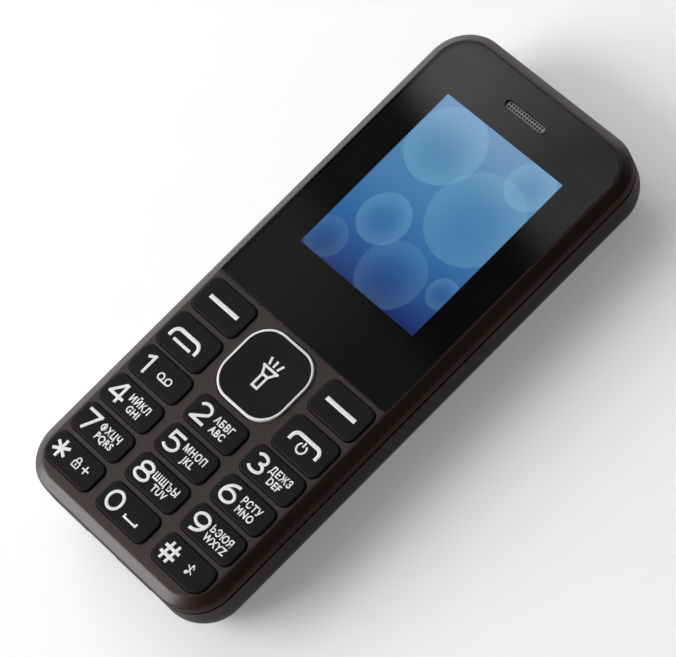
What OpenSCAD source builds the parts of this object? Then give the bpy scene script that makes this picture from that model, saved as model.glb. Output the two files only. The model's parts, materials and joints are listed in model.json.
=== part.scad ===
// Bar phone with a keypad, lying on its back.
// X runs across the phone, Y towards the earpiece end, Z out of the display.
// The origin is under the middle of the body, on the plane of the back.

/* [Body] */
// Width across the body
body_w = 45.5; // [44:0.5:50]
// Length from the socket end to the earpiece end
body_l = 105.9; // [104:0.5:116]
// Height of the flat front face above the back
face_h = 12.8; // [12.6:0.1:14]
// Plan radius of the body corners
corner_r = 7.75; // [7.5:0.25:9]
// Radius of the rounded back edges
back_r = 6.8; // [5.8:0.2:6.8]
// Wall of the front housing and of the rear cover
wall = 1.1; // [0.9:0.1:1.3]
// Width of the chamfer round the front face
chamfer_w = 1.75; // [1.5:0.05:2]
// Height of the chamfer round the front face
chamfer_h = 1.2; // [0.8:0.1:1.4]
// Depth of the parting line below the front face
part_drop = 2.9; // [2.4:0.1:3.1]
// Open groove between the front housing and the rear cover
seam = 0.5; // [0.2:0.05:0.6]
// Clearance between the chassis and the shells round it
fit = 0.15; // [0.1:0.05:0.2]

/* [Window] */
// Flat rim of the housing beside the window
rim = 0.3; // [0.3:0.1:0.8]
// Thickness of the window
lens_t = 0.8; // [0.7:0.1:0.9]
// Thickness of the ledge that carries the window
ledge_t = 0.7; // [0.6:0.1:0.8]
// Web between the window and the function keys
lens_gap = 1; // [0.9:0.1:1.4]
// Length of the earpiece slot
slot_w = 9.3; // [7:0.1:10]
// Width of the earpiece slot
slot_l = 1.5; // [1.2:0.1:1.8]
// Middle of the earpiece slot below the top edge of the window
slot_drop = 5.05; // [4.6:0.05:5.2]
// Width of the lit display
display_w = 28.03; // [26:0.01:29]
// Length of the lit display
display_l = 35.04; // [33:0.01:36]
// Top edge of the lit display below the top edge of the window
display_drop = 10.08; // [9.8:0.01:10.4]

/* [Keys] */
// Length of a digit key along the phone
key_l = 5.65; // [5.2:0.05:5.8]
// Web between the key columns
key_gap_x = 2.05; // [1.6:0.05:2.6]
// Web between the key rows
key_gap_y = 1.07; // [0.9:0.01:1.2]
// Flat face outside the outer key columns
key_side = 0.65; // [0.6:0.05:1]
// Flat face below the last key row
key_bottom = 1.85; // [1.8:0.05:2.2]
// Corner radius of the keys
key_r = 1.5; // [0.8:0.1:1.8]
// Corner radius of the last row beside the housing corners
key_outer_r = 2.8; // [2:0.1:3]
// Rounding of the key edges
key_edge = 0.3; // [0.2:0.05:0.35]
// Height of the keys above the face
key_rise = 0.35; // [0.3:0.05:0.6]
// Gap round a key in its opening
key_play = 0.15; // [0.1:0.05:0.2]
// Flange round a key behind the face
key_flange = 0.25; // [0.2:0.05:0.3]
// Travel of a key
key_travel = 0.3; // [0.2:0.05:0.3]
// Length of the soft keys along the phone
soft_l = 6.75; // [6.4:0.05:7]
// Length of the call and end keys along the phone
call_l = 7; // [6.6:0.05:7.2]
// Web between the soft keys and the call and end keys
fn_gap = 1.25; // [1:0.05:1.5]
// Web between the call and end keys and the digit keys
fn_drop = 0.8; // [0.75:0.05:1]

/* [Navigation key] */
// Width of the navigation key
nav_w = 14.9; // [14:0.1:15.4]
// Length of the navigation key
nav_l = 14.45; // [14:0.05:14.6]
// Corner radius of the navigation key
nav_r = 4.9; // [4:0.1:5.4]
// Web between the navigation key and the function keys
nav_gap = 1.7; // [1.6:0.1:2.2]
// Height of the navigation key above the face
nav_rise = 0.3; // [0.3:0.05:0.5]
// Gap round the navigation key in its opening
nav_play = 0.25; // [0.2:0.05:0.3]
// Width of the light ring at the border of the navigation key
ring_w = 0.46; // [0.4:0.02:0.8]
// Depth of the hollow in the navigation key
nav_dish = 0.22; // [0.1:0.02:0.3]

/* [Inside] */
// Wall of the rear chassis
chassis_t = 1; // [0.9:0.1:1.1]
// Thickness of the circuit board
board_t = 0.9; // [0.8:0.1:1]
// Width of the display module
lcd_w = 32.8; // [31:0.1:33]
// Length of the display module
lcd_l = 43; // [41:0.1:43.2]
// Thickness of the display module
lcd_t = 1.9; // [1.7:0.1:2]
// Width of the battery
battery_w = 33; // [31:0.5:33.5]
// Length of the battery
battery_l = 48.5; // [46:0.5:49]
// Thickness of the battery
battery_t = 4.9; // [4.4:0.1:5]
// Gap round the battery in its bay
battery_play = 0.3; // [0.2:0.05:0.4]
// Top end of the battery above the middle of the phone
battery_top = 17; // [16:0.5:18]
// Radius of the screw bosses
boss_r = 1.6; // [1.4:0.1:1.6]
// Radius of the screw shanks
screw_r = 0.6; // [0.5:0.05:0.7]
// Diameter of the headset bore
jack_bore = 3.6; // [3.55:0.05:3.8]
// Place of the headset socket across the phone
jack_x = 12; // [10:0.5:12]
// Place of the charging socket across the phone
usb_x = -3; // [-4:0.5:0]
// Place of the microphone across the phone
mic_x = -14; // [-14:0.5:-12]

/* [Hidden] */
$fn = 64;
hair = 0.05;

// Plan of the face, the keys and the window
face_x = body_w/2 - chamfer_w;
face_y = body_l/2 - chamfer_w;
key_x = face_x - key_side;
key_w = (2*key_x - 2*key_gap_x)/3;
key_px = key_w + key_gap_x;
key_py = key_l + key_gap_y;
row_y0 = -face_y + key_bottom + key_l/2;
call_y = row_y0 + 3*key_py + key_l/2 + fn_drop + call_l/2;
soft_y = call_y + call_l/2 + fn_gap + soft_l/2;
soft_top = soft_y + soft_l/2;
nav_y = soft_top - nav_l/2;
fn_w = key_x - nav_w/2 - nav_gap;
fn_x = key_x - fn_w/2;
lens_w = 2*(face_x - rim);
lens_y0 = soft_top + lens_gap;
lens_y1 = face_y - rim;
lens_l = lens_y1 - lens_y0;
lens_y = (lens_y0 + lens_y1)/2;
lens_r = corner_r - chamfer_w - rim;
lens_rs = [lens_r, lens_r, rim, rim];
lens_play = 0.1;
lens_edge = 0.06;
slot_y = lens_y1 - slot_drop;
grille_t = 0.3;
grille_sink = 0.35;
grille_play = 0.08;
display_y = lens_y1 - display_drop - display_l/2;

// Levels, from the front face down to the circuit board
plate_z = face_h - 1.2;
part_z = face_h - part_drop;
lens_z = face_h - lens_t;
seat_z = lens_z - hair;
ledge_z = seat_z - ledge_t;
lcd_top = ledge_z - hair;
board_z = lcd_top - lcd_t;
under_z = board_z - board_t;
dome_h = 0.25;
flange_t = 0.5;
flange_z = plate_z - hair - flange_t;
stem_z = board_z + dome_h + key_travel + hair;
stem_r = 1.1;
mat_t = 0.45;
mat_z = flange_z - key_travel - 0.3 - mat_t;

// Levels and plan of the rear, from the back up
rim_z = part_z - seam;
skin = wall + fit;
inner = skin + chassis_t;
lap = 0.65;
chassis_z = part_z + lap;
floor_t = 0.8;
floor_z = skin + floor_t;
bay_z = skin + battery_t + fit;
bay_t = 0.6;
bay_top = bay_z + bay_t;
bay_wall = 0.8;
battery_y = battery_top - battery_l/2;
bay_w = battery_w + 2*battery_play;
bay_l = battery_l + 2*battery_play;
board_play = 0.25;
board_w = body_w - 2*inner - 2*board_play;
board_l = body_l - 2*inner - 2*board_play;
board_r = corner_r - inner - board_play;
end_y = body_l/2 - skin;

// Screws in the upper corners and below the display module
lcd_y1 = display_y + display_l/2 + 1.6;
lcd_y = lcd_y1 - lcd_l/2;
boss_x = board_w/2 - boss_r - hair;
boss_lo = lens_y0 + boss_r + 1.6;
corner_in = (board_r - boss_r - 0.1)*sin(45);
boss_hi = [board_w/2 - board_r + corner_in, board_l/2 - board_r + corner_in];
screws = [[boss_hi[0], boss_hi[1]], [-boss_hi[0], boss_hi[1]], [boss_x, boss_lo], [-boss_x, boss_lo]];
head_r = 1.15;
head_h = 0.9;
head_z = bay_z;
post_r = boss_r + 0.5;

// Rocking pivots of the navigation key
carrier_t = 0.5;
carrier_z = plate_z - 0.4 - carrier_t;
nav_z = carrier_z + carrier_t + 0.35;
pivot_r = 0.6;
pivot_play = 0.05;
pivot_x_z = carrier_z - 0.2;
pivot_y_z = nav_z - 0.2;
nav_top = face_h + nav_rise;
nav_rs = [nav_r, nav_r, nav_r, nav_r];
nub_off = 5;
ring_z = nav_top - 0.6;

// Sockets at the lower end and the torch at the upper end
jack_w = 6.2;
jack_h = 5.2;
jack_z = under_z - jack_h/2;
jack_deep = 12;
usb_h = 2.7;
usb_w = 7.6;
usb_l = 5.6;
usb_z = under_z - usb_h/2;
port_play = 0.3;
port_end = end_y - 0.1;
mic_z = under_z - 0.8;
torch_r = 1.75;
torch_z = under_z - 1.25;
speaker_x = 4;
speaker_y = end_y - 17.7;
speaker_w = 18;
speaker_l = 12;
speaker_t = 3;

// Motor, shield cans and antenna
motor_x = -12.5;
motor_r = 4;
motor_h = 2.6;
can_gap = 0.2;
can_wall = 0.2;
can_side = 2;
can_base_w = boss_x - post_r - can_side - 0.5;
can_base_l = 20;
can_base_y = battery_top - can_base_l/2 - 4.5;
can_radio_w = 20;
can_radio_l = 13;
antenna_t = 0.25;
antenna_gap = 2;
antenna_end = 3.55;
antenna_w = body_w - 2*back_r - 1.9;
antenna_y0 = -body_l/2 + back_r + antenna_end;
antenna_y1 = battery_y - bay_l/2 - bay_wall - antenna_gap;

digits = ["1", "2", "3", "4", "5", "6", "7", "8", "9", "star", "0", "hash"];
digit_nodes = [for (d = digits) str("key_", d)];
fn_nodes = ["soft_key_left", "soft_key_right", "call_key", "end_key"];
fn_at = [[-fn_x, soft_y], [fn_x, soft_y], [-fn_x, call_y], [fn_x, call_y]];
fn_len = [soft_l, soft_l, call_l, call_l];
key_rs = [key_r, key_r, key_r, key_r];

function digit_at(i) = [(i % 3 - 1)*key_px, row_y0 + (3 - floor(i/3))*key_py];
function digit_rs(i) = i == 9 ? [key_r, key_r, key_outer_r, key_r]
    : i == 11 ? [key_r, key_r, key_r, key_outer_r] : key_rs;
function grown(rs, by) = [for (r = rs) r + by];

// A point turned by a number of quarter turns
function turned(p, k) = k == 0 ? p : turned([-p[1], p[0]], k - 1);
// Outline steps at one corner of a plate, inside its border
function corner_steps(w, l, r, d) = r > d
    ? [[w/2 - d, l/2 - r], [w/2 - r, l/2 - r], [w/2 - r, l/2 - d]]
    : [[w/2 - d, l/2 - d]];
function core_points(w, l, rs, d) = [
    for (k = [0:3])
        let (s = k % 2 == 0 ? [w, l] : [l, w])
            for (p = corner_steps(s[0], s[1], rs[k], d)) turned(p, k)
];
// A corner b between a and c, eased by a curve that starts at distance s from it
function eased(a, b, c, s) = let (p = b + s*(a - b)/norm(a - b), q = b + s*(c - b)/norm(c - b))
    [for (t = [0:1/3:1]) (1 - t)*(1 - t)*p + 2*t*(1 - t)*b + t*t*q];

// Flat plan of a plate with a radius for each corner
module plan(w, l, rs) {
    polygon(core_points(w, l, rs, 0));
    for (k = [0:3]) {
        s = k % 2 == 0 ? [w, l] : [l, w];
        rotate(90*k) translate([s[0]/2 - rs[k], s[1]/2 - rs[k]]) circle(rs[k]);
    }
}

// Plate between two levels
module plate(w, l, rs, z0, z1) {
    translate([0, 0, z0]) linear_extrude(z1 - z0) plan(w, l, rs);
}

// Block whose border, d wide, follows the profile given as child all the way round
module bordered(w, l, rs, d, z0, z1) {
    translate([0, 0, z0]) linear_extrude(z1 - z0) polygon(core_points(w, l, rs, d));
    for (k = [0:3]) {
        s = k % 2 == 0 ? [w, l] : [l, w];
        r = rs[k];
        rotate([0, 0, 90*k]) {
            translate([s[0]/2 - r, s[1]/2 - r, 0]) rotate_extrude(angle = 90) {
                translate([r - d, 0]) children();
                if (r > d) translate([0, z0]) square([r - d, z1 - z0]);
            }
            translate([s[0]/2 - d, 0, 0]) {
                rotate([90, 0, 0]) linear_extrude(s[1]/2 - rs[(k + 3) % 4]) children();
                mirror([0, 1, 0]) rotate([90, 0, 0]) linear_extrude(s[1]/2 - r) children();
            }
        }
    }
}

// Border profile with a rounded upper edge
module soft_edge(d, z0, z1, f) {
    translate([0, z0]) square([d, z1 - f - z0]);
    translate([0, z1 - f]) square([d - f, f]);
    translate([d - f, z1 - f]) intersection() {
        circle(f);
        square(f);
    }
}

// Solid of the rear form, set in from the outer skin
module rear_form(inset, top) {
    r = back_r - inset;
    d = corner_r - inset;
    bordered(body_w - 2*inset, body_l - 2*inset, [d, d, d, d], d, inset, top) {
        translate([0, inset]) square([d - r, top - inset]);
        translate([d - r, back_r]) square([r, top - back_r]);
        translate([d - r, back_r]) intersection() {
            circle(r);
            translate([0, -r]) square(r);
        }
    }
}

// Plan of a round-ended slot along X
module slot_plan(w, l) {
    square([w - l, l], center = true);
    for (s = [-1, 1]) translate([s*(w - l)/2, 0]) circle(l/2);
}

// Round-ended slot between two levels
module slot(w, l, z0, z1) {
    translate([0, 0, z0]) linear_extrude(z1 - z0) slot_plan(w, l);
}

// Openings for the sockets and the torch through the end walls of a shell
module end_openings(play, reach) {
    translate([jack_x, -reach, jack_z]) rotate([90, 0, 0])
        cylinder(h = 8, r = jack_bore/2 + 0.7 + play, center = true);
    translate([usb_x, -reach, usb_z])
        cube([usb_w + 2*play, 8, usb_h + 2*play], center = true);
    translate([mic_x, -reach, mic_z]) rotate([90, 0, 0]) cylinder(h = 8, r = 0.6, center = true);
    translate([0, reach, torch_z]) rotate([90, 0, 0]) cylinder(h = 8, r = torch_r + play, center = true);
}

// Section of the front shell from the corner centre to the outer skin
module front_profile() {
    inside = corner_r - wall;
    skirt = [corner_r, part_z];
    low = [corner_r, face_h - chamfer_h];
    high = [corner_r - chamfer_w, face_h];
    polygon(concat(
        [[0, plate_z], [inside, plate_z], [inside, part_z], skirt],
        eased(skirt, low, high, 0.3),
        eased(low, high, [0, face_h], 0.3),
        [[0, face_h]]
    ));
}

module front_housing() {
    round = [corner_r, corner_r, corner_r, corner_r];
    bed = 0.3;
    bed_y = soft_top + key_play + key_flange + 0.1;
    bed_end = body_l/2 - wall + bed;
    bed_r = corner_r - wall + bed;
    bed_w = body_w - 2*wall + 2*bed;
    color([0.17, 0.145, 0.14]) difference() {
        union() {
            bordered(body_w, body_l, round, corner_r, plate_z, face_h) front_profile();
            translate([0, (bed_y + bed_end)/2, 0])
                plate(bed_w, bed_end - bed_y, [bed_r, bed_r, bed, bed], ledge_z, plate_z + hair);
            for (p = screws) translate([p[0], p[1], board_z]) cylinder(h = seat_z - board_z - 0.2, r = boss_r);
            for (x = [-8, 8]) housing_hook(x);
        }
        translate([0, lens_y, 0])
            plate(lens_w + 2*lens_play, lens_l + 2*lens_play, grown(lens_rs, lens_play), seat_z, face_h + 1);
        translate([0, display_y, (seat_z + ledge_z)/2]) cube([display_w + 0.8, display_l + 0.8, 2], center = true);
        translate([0, slot_y, 0]) slot(slot_w, slot_l, ledge_z - 1, seat_z + 1);
        translate([0, slot_y, 0]) slot(slot_w + 1.4, slot_l + 1.4, seat_z - grille_t, seat_z + 1);
        for (i = [0:11]) translate(digit_at(i))
            plate(key_w + 2*key_play, key_l + 2*key_play, grown(digit_rs(i), key_play), plate_z - 1, face_h + 1);
        for (i = [0:3]) translate(fn_at[i])
            plate(fn_w + 2*key_play, fn_len[i] + 2*key_play, grown(key_rs, key_play), plate_z - 1, face_h + 1);
        translate([0, nav_y, 0])
            plate(nav_w + 2*nav_play, nav_l + 2*nav_play, grown(nav_rs, nav_play), plate_z - 1, face_h + 1);
        for (p = screws) translate([p[0], p[1], board_z - 1]) cylinder(h = seat_z - board_z + 0.5, r = screw_r + 0.02);
    }
}

// Catch of the front shell that drops behind the lower wall of the chassis
module housing_hook(x) {
    y = -(body_l/2 - inner);
    foot = board_z + 0.3;
    translate([x - 2.5, y + 0.1, foot]) cube([5, 0.7, plate_z + hair - foot]);
    translate([x - 2, y - 0.35, foot]) cube([4, 0.6, 0.5]);
}

module display_lens() {
    color([0.02, 0.02, 0.025]) difference() {
        translate([0, lens_y, 0])
            bordered(lens_w, lens_l, lens_rs, rim*0.8, lens_z, face_h) soft_edge(rim*0.8, lens_z, face_h, lens_edge);
        translate([0, slot_y, 0]) slot(slot_w, slot_l, lens_z - 1, face_h + 1);
    }
}

// Pierced plate with a flange behind the window and a raised middle that fills its slot
module earpiece_grille() {
    pitch = 0.62;
    count = floor(slot_w/pitch/2) - 1;
    low = seat_z - grille_t;
    color([0.45, 0.45, 0.46]) translate([0, slot_y, 0]) difference() {
        union() {
            slot(slot_w + 1.2, slot_l + 1.2, low, seat_z);
            slot(slot_w - 2*grille_play, slot_l - 2*grille_play, low, face_h - grille_sink);
        }
        for (i = [-count:count], j = [-0.5, 0.5]) translate([i*pitch, j*pitch, low - 1])
            cylinder(h = face_h - low + 1, r = 0.2, $fn = 24);
    }
}

module earpiece() {
    w = slot_w + 1.2;
    color([0.2, 0.2, 0.21]) translate([0, slot_y, 0]) difference() {
        union() {
            plate(w, 5.4, [1, 1, 1, 1], board_z, lcd_top - 0.3);
            plate(w - 0.6, 4.6, [0.8, 0.8, 0.8, 0.8], lcd_top - 0.3 - hair, lcd_top);
        }
        slot(slot_w, slot_l, lcd_top - 0.5, lcd_top + 1);
    }
}

module lcd_panel() {
    color([0.2, 0.33, 0.6]) translate([0, lcd_y, 0])
        plate(lcd_w - 1.8, lcd_l - 1.8, [0.4, 0.4, 0.4, 0.4], lcd_top - 0.7, lcd_top);
}

module lcd_frame() {
    color([0.88, 0.88, 0.86]) translate([0, lcd_y, 0]) difference() {
        plate(lcd_w, lcd_l, [0.8, 0.8, 0.8, 0.8], board_z, lcd_top - 0.15);
        plate(lcd_w - 1.6, lcd_l - 1.6, [0.5, 0.5, 0.5, 0.5], lcd_top - 0.7, lcd_top);
        translate([0, -lcd_l/2, lcd_top]) cube([13, 3, 1.4], center = true);
    }
}

// Flexible tail, from the lower edge of the panel down to the board
module lcd_flex() {
    tail = 0.15;
    tail_share = 0.36;
    top = lcd_top - 0.5;
    y0 = lcd_y - lcd_l/2;
    run = tail_share*(y0 - soft_top);
    bend = (top - board_z)/2;
    color([0.75, 0.5, 0.2]) translate([-6, y0, 0]) rotate([90, 0, 90]) linear_extrude(12) {
        translate([-0.3, top - tail]) square([1.2, tail]);
        translate([-0.3, board_z + bend]) intersection() {
            difference() {
                circle(bend);
                circle(bend - tail);
            }
            translate([-bend, -bend]) square([bend, 2*bend]);
        }
        translate([-run, board_z]) square([run - 0.3, tail]);
    }
}

// Key cap with the flange that holds it behind the face and the stem that meets its dome
module key(w, l, rs) {
    bordered(w, l, rs, key_r, flange_z, face_h + key_rise)
        soft_edge(key_r, flange_z, face_h + key_rise, key_edge);
    plate(w + 2*key_flange, l + 2*key_flange, grown(rs, key_flange), flange_z, flange_z + flange_t);
    translate([0, 0, stem_z]) cylinder(h = flange_z + hair - stem_z, r = stem_r);
}

module digit_key(i) {
    color([0.13, 0.13, 0.13]) translate(digit_at(i)) key(key_w, key_l, digit_rs(i));
}

module fn_key(i) {
    color([0.13, 0.13, 0.13]) translate(fn_at[i]) key(fn_w, fn_len[i], key_rs);
}

// Square cap with a shallow hollow, a rebate for the ring and a groove that rocks on the carrier
module nav_key() {
    hollow = nav_w/2 - ring_w - 0.6;
    ball = (hollow*hollow + nav_dish*nav_dish)/(2*nav_dish);
    color([0.13, 0.13, 0.13]) translate([0, nav_y, 0]) difference() {
        union() {
            plate(nav_w, nav_l, nav_rs, nav_z, ring_z);
            plate(nav_w - 2*ring_w, nav_l - 2*ring_w, grown(nav_rs, -ring_w), ring_z - hair, nav_top);
        }
        translate([0, 0, nav_top]) rotate_extrude() intersection() {
            translate([0, ball - nav_dish]) circle(ball, $fn = 720);
            translate([0, -1]) square([hollow, 1.5]);
        }
        translate([0, 0, pivot_y_z]) rotate([90, 0, 0])
            cylinder(h = nav_l + 1, r = pivot_r + pivot_play, center = true);
    }
}

module nav_ring() {
    lift = 0.08;
    d = ring_w - 0.02;
    color([0.93, 0.93, 0.92]) translate([0, nav_y, 0]) difference() {
        bordered(nav_w, nav_l, nav_rs, d, ring_z, nav_top + lift) soft_edge(d, ring_z, nav_top + lift, 0.2);
        plate(nav_w - 2*d, nav_l - 2*d, grown(nav_rs, -d), ring_z - 1, nav_top + 1);
    }
}

// Flanged plate under the cap, with four nubs over the direction domes
module nav_carrier() {
    w = nav_w + 2*nav_play + 0.5;
    l = nav_l + 2*nav_play + 0.5;
    long = 6;
    color([0.2, 0.2, 0.2]) translate([0, nav_y, 0]) difference() {
        union() {
            plate(w, l, grown(nav_rs, nav_play), carrier_z, carrier_z + carrier_t);
            translate([0, 0, pivot_y_z]) rotate([90, 0, 0]) cylinder(h = long, r = pivot_r, center = true);
            for (k = [0:3]) rotate([0, 0, 90*k]) translate([nub_off, 0, stem_z + 0.2])
                cylinder(h = carrier_z + hair - stem_z - 0.2, r = 0.8);
        }
        translate([0, 0, pivot_x_z]) rotate([0, 90, 0])
            cylinder(h = 2*nub_off - 2.2, r = pivot_r + pivot_play, center = true);
    }
}

// Middle nub, with the ridge on which the carrier rocks
module nav_plunger() {
    color([0.75, 0.75, 0.73]) translate([0, nav_y, 0]) {
        translate([0, 0, stem_z]) cylinder(h = pivot_x_z - stem_z, r = 2.2);
        translate([0, 0, pivot_x_z]) rotate([0, 90, 0]) cylinder(h = 5, r = pivot_r, center = true);
    }
}

// Silicone web with a hole for each stem and a window under the navigation key
module keypad_mat() {
    w = board_w - 0.6;
    top = soft_top + key_flange;
    low = -board_l/2 + 0.9;
    r = board_r - 0.3;
    rs = [1, 1, r, r];
    margin = 0.8;
    color([0.8, 0.8, 0.78]) difference() {
        translate([0, (top + low)/2, 0]) plate(w, top - low, rs, board_z, mat_z + mat_t);
        translate([0, (top + low)/2, 0])
            plate(w - 2*margin, top - low - 2*margin, grown(rs, -margin), board_z - 1, mat_z);
        for (i = [0:11]) translate(digit_at(i)) translate([0, 0, board_z]) cylinder(h = 4, r = stem_r + 0.4);
        for (p = fn_at) translate([p[0], p[1], board_z]) cylinder(h = 4, r = stem_r + 0.4);
        translate([0, nav_y, 0])
            plate(nav_w + 2*nav_play + 1.2, nav_l + 2*nav_play + 1.2, grown(nav_rs, 0.5), board_z - 1, mat_z + 2);
    }
}

module dome_at(p) {
    translate([p[0], p[1], board_z]) cylinder(h = dome_h, r1 = 2, r2 = 1.2);
}

module dome_sheet() {
    top = soft_top - 0.7;
    low = row_y0 - key_l/2 + 0.9;
    film = 0.1;
    w = 2*key_x - 2.8;
    r = board_r - 1.1;
    color([0.72, 0.73, 0.74]) union() {
        translate([0, (top + low)/2, 0]) plate(w, top - low, [1, 1, r, r], board_z, board_z + film);
        for (i = [0:11]) dome_at(digit_at(i));
        for (p = fn_at) dome_at(p);
        for (p = [[0, 0], [nub_off, 0], [-nub_off, 0], [0, nub_off], [0, -nub_off]]) dome_at(p + [0, nav_y]);
    }
}

module circuit_board() {
    rs = [board_r, board_r, board_r, board_r];
    color([0.1, 0.35, 0.2]) difference() {
        plate(board_w, board_l, rs, under_z, board_z);
        for (p = screws) translate([p[0], p[1], under_z - 1]) cylinder(h = 3, r = screw_r + 0.2);
    }
}

// Pressed can with rounded corners, closed towards the back
module can(w, l, z0) {
    difference() {
        plate(w, l, [0.8, 0.8, 0.8, 0.8], z0, under_z);
        plate(w - 2*can_wall, l - 2*can_wall, [0.6, 0.6, 0.6, 0.6], z0 + can_wall, under_z + 1);
    }
}

module shield_can_base() {
    color([0.75, 0.76, 0.77]) translate([-can_side - can_base_w/2, can_base_y, 0])
        can(can_base_w, can_base_l, bay_top + can_gap);
}

module shield_can_radio() {
    color([0.75, 0.76, 0.77]) translate([speaker_x + 2, speaker_y - 1, 0])
        can(can_radio_w, can_radio_l, bay_top + can_gap);
}

// Sprung card cage, open at the lower end
module card_holder(w, l) {
    difference() {
        plate(w, l, [0.6, 0.6, 0.6, 0.6], bay_z + 0.2, under_z);
        translate([0, -1, (bay_z + 0.2 + under_z)/2]) cube([w - 1.2, l, under_z - bay_z - 1], center = true);
        translate([0, -l/2, bay_z]) cylinder(h = 0.6, r = w/4);
    }
}

sim_w = 15.2;
sim_l = 16;
sim_x = 8.4;
sim_y = battery_y - battery_l/2 + sim_l/2 + 2.5;
card_w = 13;
card_l = 14;
card_at = [boss_x - post_r - 0.8 - card_w/2, battery_top - card_l/2 - 6];

module sim_holder_left() {
    color([0.7, 0.7, 0.71]) translate([-sim_x, sim_y, 0]) card_holder(sim_w, sim_l);
}

module sim_holder_right() {
    color([0.7, 0.7, 0.71]) translate([sim_x, sim_y, 0]) card_holder(sim_w, sim_l);
}

module memory_card_holder() {
    color([0.7, 0.7, 0.71]) translate(card_at) card_holder(card_w, card_l);
}

// Block with three blades that reach the end of the battery
contact_w = 9;
contact_z = skin + 1.2;
module battery_connector() {
    y = battery_top + battery_play;
    color([0.82, 0.68, 0.3]) difference() {
        translate([-contact_w/2, y + 0.1, contact_z]) cube([contact_w, 3.6, under_z - contact_z]);
        for (x = [-1.35, 1.35]) translate([x - 0.35, y - 1, contact_z - 1])
            cube([0.7, 2.3, under_z - contact_z]);
    }
}

module usb_socket() {
    shell = 0.3;
    color([0.75, 0.76, 0.77]) translate([usb_x, -port_end, usb_z]) difference() {
        translate([-usb_w/2, 0, -usb_h/2]) cube([usb_w, usb_l, usb_h]);
        difference() {
            translate([-usb_w/2 + shell, -1, -usb_h/2 + shell])
                cube([usb_w - 2*shell, usb_l, usb_h - 2*shell]);
            translate([-usb_w/2 + 1.6, 0.6, 0.1]) cube([usb_w - 3.2, usb_l, 0.6]);
            for (s = [-1, 1]) translate([s*usb_w/2, -2, -usb_h/2]) rotate([0, 45, 0])
                translate([-0.8, 0, -0.8]) cube([1.6, usb_l + 4, 1.6]);
        }
    }
}

module audio_jack() {
    nose = jack_bore/2 + 0.7;
    color([0.12, 0.12, 0.13]) translate([jack_x, 0, jack_z]) difference() {
        union() {
            translate([-jack_w/2, -port_end + 3.2, -jack_h/2]) cube([jack_w, jack_deep - 2.4, jack_h]);
            translate([0, -port_end, 0]) rotate([-90, 0, 0]) cylinder(h = 4, r = nose);
        }
        translate([0, -port_end - 1, 0]) rotate([-90, 0, 0]) cylinder(h = jack_deep + 1, r = jack_bore/2);
    }
}

module microphone() {
    color([0.7, 0.7, 0.68]) translate([mic_x, -board_l/2 + 2.4, 0]) difference() {
        plate(3.8, 3, [0.3, 0.3, 0.3, 0.3], under_z - 1.4, under_z);
        translate([0, -2, mic_z]) rotate([-90, 0, 0]) cylinder(h = 1.5, r = 0.3);
    }
}

module torch_led() {
    color([0.95, 0.93, 0.8]) translate([0, board_l/2 - 1, 0]) {
        translate([-1.6, -1, torch_z - 0.8]) cube([3.2, 1.6, under_z - torch_z + 0.8]);
        translate([0, 0.5, torch_z]) rotate([-90, 0, 0]) cylinder(h = 0.4, r = 0.7);
    }
}

module torch_lens() {
    color([0.9, 0.92, 0.95]) translate([0, board_l/2 + hair, torch_z]) rotate([-90, 0, 0])
        difference() {
            cylinder(h = port_end - board_l/2 - hair, r = torch_r);
            translate([0, 0, -hair]) cylinder(h = 0.35, r = 1);
        }
}

// Sealed coin motor under the board
module vibration_motor() {
    color([0.72, 0.72, 0.73]) translate([motor_x, speaker_y, under_z - motor_h]) {
        cylinder(h = motor_h - 0.2, r = motor_r);
        cylinder(h = motor_h, r = 0.8*motor_r);
    }
}

module loudspeaker() {
    round = [2, 2, 2, 2];
    color([0.16, 0.16, 0.17]) translate([speaker_x, speaker_y, 0]) difference() {
        plate(speaker_w, speaker_l, round, floor_z, floor_z + speaker_t);
        plate(speaker_w - 2, speaker_l - 2, grown(round, -1), floor_z - 1, floor_z + 0.5);
        translate([0, 0, floor_z + speaker_t - 0.3]) cylinder(h = 1, r = 0.3*speaker_l);
    }
}

// Sheet antenna on the chassis floor with two feet up to the board
module antenna() {
    color([0.8, 0.66, 0.35]) {
        translate([-antenna_w/2, antenna_y0, floor_z]) cube([antenna_w, antenna_y1 - antenna_y0, antenna_t]);
        for (x = [1, 6]) translate([x - antenna_w/2, antenna_y1 - antenna_t, floor_z])
            cube([1.6, antenna_t, under_z - floor_z]);
    }
}

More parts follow.
